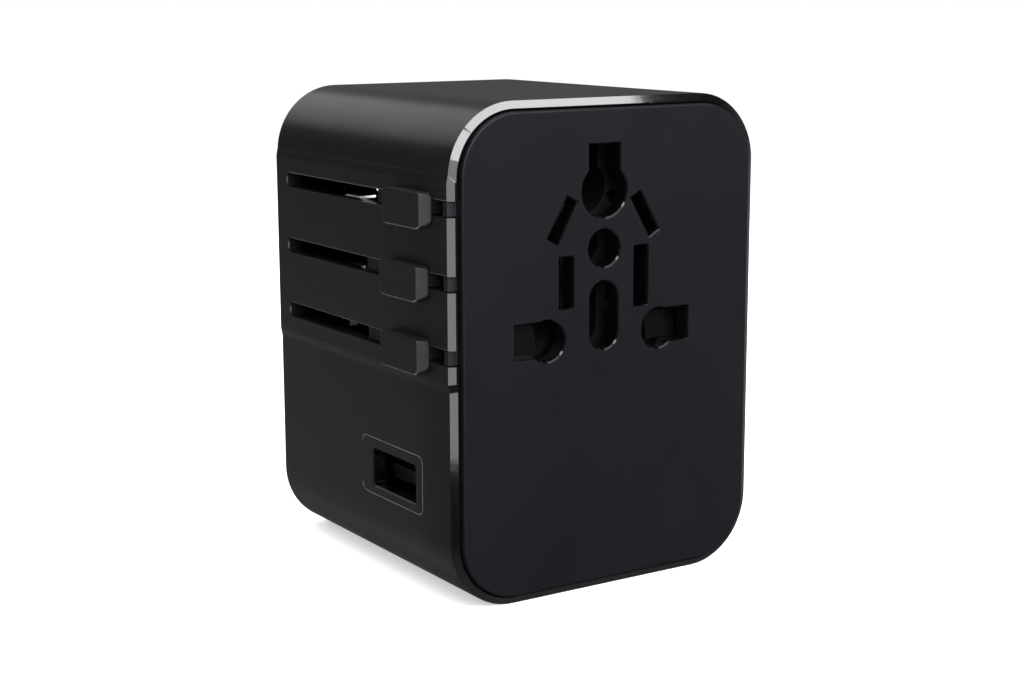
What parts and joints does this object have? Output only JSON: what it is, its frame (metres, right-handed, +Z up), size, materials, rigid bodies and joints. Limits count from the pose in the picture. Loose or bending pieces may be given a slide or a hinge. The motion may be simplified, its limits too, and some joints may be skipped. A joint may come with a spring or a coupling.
{
  "type": "travel adapter",
  "caption": "Black travel adapter with a universal socket face, plugs on side sliders, a USB charger port and a fuse drawer",
  "frame": {"origin": "Middle of the sleeve's underside, on the plane that the adapter stands on.", "axes": "+Z up along the housing's height, -Y out of the socket face, +Y out of the plug face, -X out of the side with the three slider knobs."},
  "size_m": [0.0538, 0.0526, 0.0698],
  "materials": {
    "housing_plastic": "black moulded polycarbonate, satin, polished front rim",
    "cover_plastic": "black moulded polycarbonate, fine matt grain",
    "inner_plastic": "black glass-filled nylon, as moulded",
    "knob_plastic": "black moulded plastic, satin",
    "collar_plastic": "black insulating sleeve",
    "tongue_plastic": "dark grey moulded plastic",
    "screw_steel": "zinc plated steel",
    "spring_steel": "cold rolled spring steel",
    "shell_steel": "nickel plated sheet steel",
    "contact_brass": "stamped brass sheet",
    "gold_plating": "gold plated contact",
    "pin_plating": "nickel plated brass",
    "board_laminate": "green glass-epoxy board",
    "ferrite": "dark grey sintered ferrite",
    "winding_tape": "yellow polyester tape over the coil",
    "capacitor_film": "dark blue shrink film",
    "chip_epoxy": "black moulded epoxy",
    "fuse_glass": "clear glass tube"
  },
  "bodies": {
    "housing": {"sleeve": "housing_plastic", "front_cover": "cover_plastic", "rear_cover": "cover_plastic", "front_posts": "cover_plastic", "rear_bosses": "cover_plastic", "drawer_chute": "cover_plastic", "housing_screws": "screw_steel", "socket_block": "inner_plastic", "shutter_spring": "spring_steel", "live_contact": "contact_brass", "neutral_contact": "contact_brass", "us_click_strip": "spring_steel", "eu_click_strip": "spring_steel", "usb_shell": "shell_steel", "usb_tongue": "tongue_plastic", "usb_contacts": "gold_plating", "charger_board": "board_laminate", "board_tray": "inner_plastic", "transformer_core": "ferrite", "transformer_winding": "winding_tape", "bulk_capacitor": "capacitor_film", "output_capacitor": "capacitor_film", "controller_chip": "chip_epoxy", "fuse_clips": "contact_brass"},
    "us_slider": {"us_carrier": "inner_plastic", "us_knob": "knob_plastic", "us_wipers": "contact_brass"},
    "us_left_blade": {"us_blade_left": "pin_plating"},
    "us_right_blade": {"us_blade_right": "pin_plating"},
    "eu_slider": {"eu_carrier": "inner_plastic", "eu_knob": "knob_plastic", "eu_pin_left": "pin_plating", "eu_pin_right": "pin_plating", "eu_pin_collars": "collar_plastic", "eu_wipers": "contact_brass"},
    "uk_slider": {"uk_carrier": "inner_plastic", "uk_knob": "knob_plastic", "uk_live_pin": "pin_plating", "uk_neutral_pin": "pin_plating", "uk_earth_pin": "pin_plating", "uk_wipers": "contact_brass"},
    "shutter": {"safety_shutter": "inner_plastic"},
    "fuse_drawer": {"fuse_drawer": "cover_plastic", "fuse_glass": "fuse_glass", "fuse_caps": "pin_plating"}
  },
  "joints": [
    {"name": "us_slide", "type": "slide", "parent": "housing", "child": "us_slider", "axis": [0, 1, 0], "range_m": [0, 0.023]},
    {"name": "eu_slide", "type": "slide", "parent": "housing", "child": "eu_slider", "axis": [0, 1, 0], "range_m": [0, 0.023]},
    {"name": "uk_slide", "type": "slide", "parent": "housing", "child": "uk_slider", "axis": [0, 1, 0], "range_m": [0, 0.023]},
    {"name": "us_left_twist", "type": "hinge", "parent": "us_slider", "child": "us_left_blade", "pos_m": [-0.00775, -0.004, 0.0554], "axis": [0, 1, 0], "range_deg": [0, 30]},
    {"name": "us_right_twist", "type": "hinge", "parent": "us_slider", "child": "us_right_blade", "pos_m": [0.00495, -0.004, 0.0554], "axis": [0, -1, 0], "range_deg": [0, 30]},
    {"name": "shutter_slide", "type": "slide", "parent": "housing", "child": "shutter", "axis": [0, 0, -1], "range_m": [0, 0.006], "stiffness_N_per_m": 120, "springref_m": -0.003, "deforming": ["shutter_spring"]},
    {"name": "fuse_drawer_slide", "type": "slide", "parent": "housing", "child": "fuse_drawer", "axis": [0, 1, 0], "range_m": [0, 0.022]}
  ]
}
